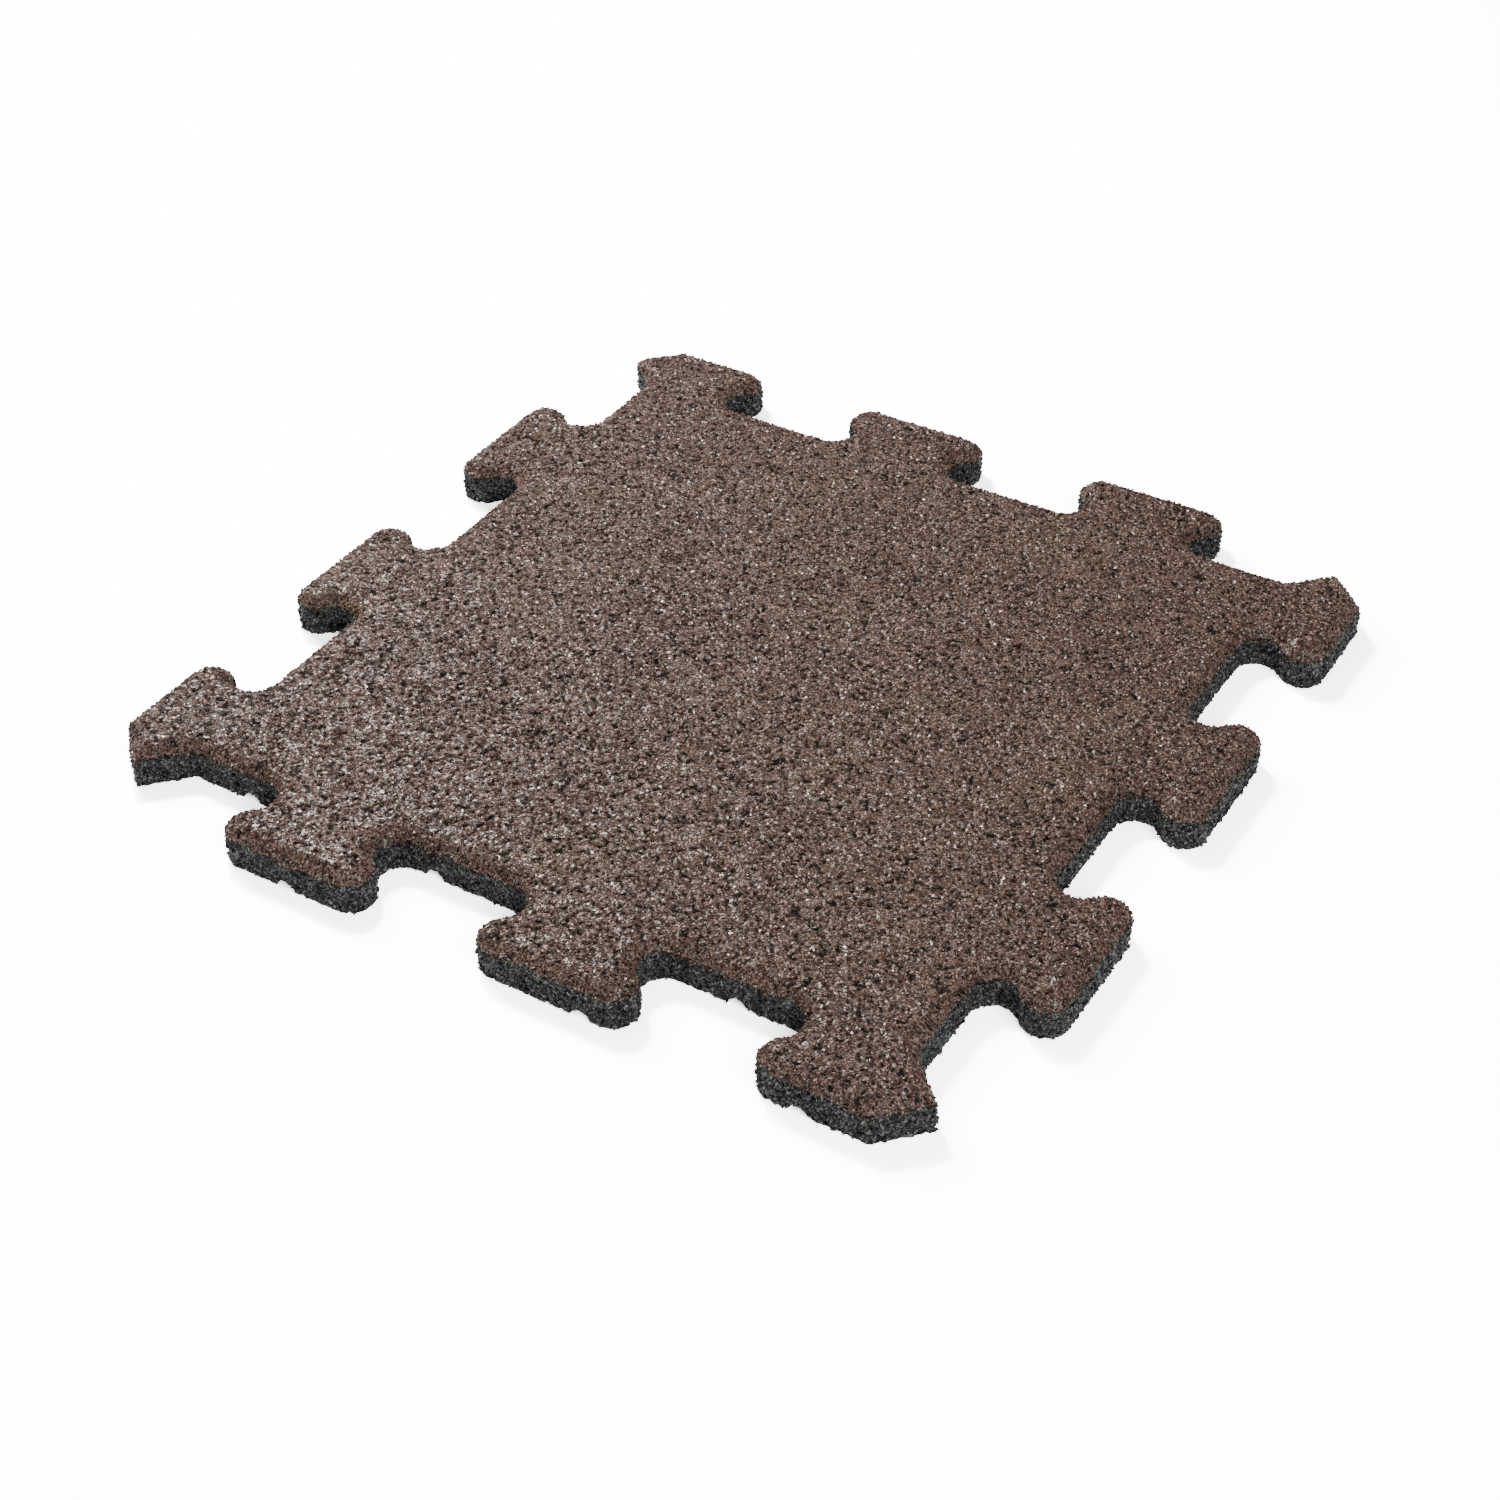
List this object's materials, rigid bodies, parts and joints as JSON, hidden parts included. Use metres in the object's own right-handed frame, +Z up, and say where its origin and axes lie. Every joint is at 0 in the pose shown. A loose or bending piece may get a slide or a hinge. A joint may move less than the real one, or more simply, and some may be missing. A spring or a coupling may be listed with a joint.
{
  "type": "interlocking rubber tile",
  "caption": "Square floor tile of pressed rubber granulate, with puzzle tabs and sockets all round, a chamfered brown wear layer and a dark base layer with drainage channels underneath.",
  "frame": {"origin": "middle of the underside, on the floor", "axes": "+Z up through the thickness, +X along the front side, +Y from the front side to the back. The drainage channels run along Y."},
  "size_m": [0.5466, 0.5466, 0.025],
  "materials": {
    "wear_layer": "brown pigmented granulate, coarse grain with small glossy facets",
    "base_layer": "dark grey to black granulate, coarse and matt"
  },
  "bodies": {
    "root": {"wear_layer": "wear_layer", "base_layer": "base_layer"}
  },
  "joints": []
}
